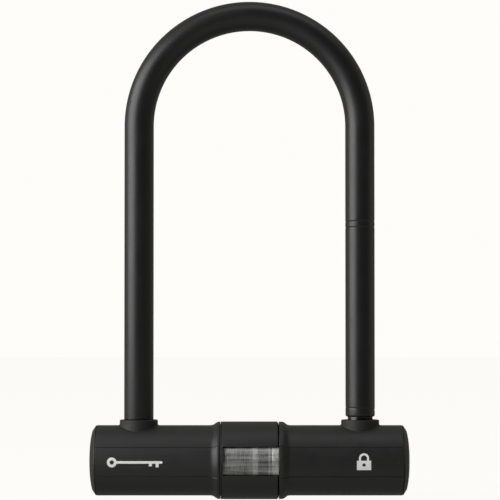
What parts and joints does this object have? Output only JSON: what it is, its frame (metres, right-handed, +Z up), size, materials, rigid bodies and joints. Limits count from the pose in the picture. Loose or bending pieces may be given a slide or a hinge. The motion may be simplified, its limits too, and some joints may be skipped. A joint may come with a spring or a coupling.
{
  "type": "u lock",
  "caption": "Bicycle U lock: a vinyl sleeved steel shackle held in a round crossbar by two deadbolts, with a key cylinder behind a turning dust cover.",
  "frame": {"origin": "middle of the crossbar's axis", "axes": "+X along the crossbar to the right, +Z up the shackle's legs, -Y the front; the keyhole faces -Z"},
  "size_m": [0.1906, 0.0464, 0.2986],
  "materials": {
    "vinyl": "moulded vinyl with a soft sheen",
    "jacket_plastic": "fine-grained moulded nylon",
    "grommet_rubber": "satin rubber",
    "brushed_steel": "brushed round the tube",
    "hardened_steel": "dark hardened steel",
    "zinc": "die cast, as cast",
    "brass": "machined",
    "spring_steel": "bright drawn"
  },
  "bodies": {
    "crossbar": {"crossbar_tube": "brushed_steel", "jacket_left": "jacket_plastic", "jacket_right": "jacket_plastic", "grommet_left": "grommet_rubber", "grommet_right": "grommet_rubber", "end_cap_left": "jacket_plastic", "end_cap_right": "jacket_plastic", "end_plug_left": "hardened_steel", "end_plug_right": "hardened_steel", "plug_pin_left": "spring_steel", "plug_pin_right": "spring_steel", "bolt_guide_left": "zinc", "bolt_guide_right": "zinc", "lock_body": "zinc", "lock_body_lid": "zinc", "cylinder_shell": "brass", "shell_pin": "spring_steel"},
    "shackle": {"shackle_bar": "hardened_steel", "shackle_sleeve": "vinyl"},
    "dust_cover": {"dust_cover": "jacket_plastic"},
    "key_core": {"core_drum": "brass", "key_shield": "spring_steel", "disc_1": "brass", "disc_2": "brass", "disc_3": "brass", "disc_4": "brass", "disc_5": "brass", "disc_6": "brass", "spacer_1": "spring_steel", "spacer_2": "spring_steel", "spacer_3": "spring_steel", "spacer_4": "spring_steel", "spacer_5": "spring_steel", "sidebar": "spring_steel", "drive_cam": "hardened_steel", "cam_pin": "spring_steel"},
    "deadbolt_left": {"deadbolt_left": "hardened_steel"},
    "deadbolt_right": {"deadbolt_right": "hardened_steel"}
  },
  "joints": [
    {"name": "shackle_lift", "type": "slide", "parent": "crossbar", "child": "shackle", "axis": [0, 0, 1], "range_m": [0, 0.06]},
    {"name": "dust_cover_turn", "type": "hinge", "parent": "crossbar", "child": "dust_cover", "pos_m": [0, 0, 0], "axis": [1, 0, 0], "range_deg": [0, 90]},
    {"name": "key_turn", "type": "hinge", "parent": "crossbar", "child": "key_core", "pos_m": [0, 0, 0], "axis": [0, 0, -1], "range_deg": [0, 90]},
    {"name": "deadbolt_left_slide", "type": "slide", "parent": "crossbar", "child": "deadbolt_left", "axis": [-1, 0, 0], "range_m": [0, 0.0067]},
    {"name": "deadbolt_right_slide", "type": "slide", "parent": "crossbar", "child": "deadbolt_right", "axis": [1, 0, 0], "range_m": [0, 0.0067]}
  ],
  "couplings": [
    {"joint": "deadbolt_left_slide", "follows": "key_turn", "m_per_rad": 0.0041412},
    {"joint": "deadbolt_right_slide", "follows": "key_turn", "m_per_rad": 0.0041412}
  ]
}
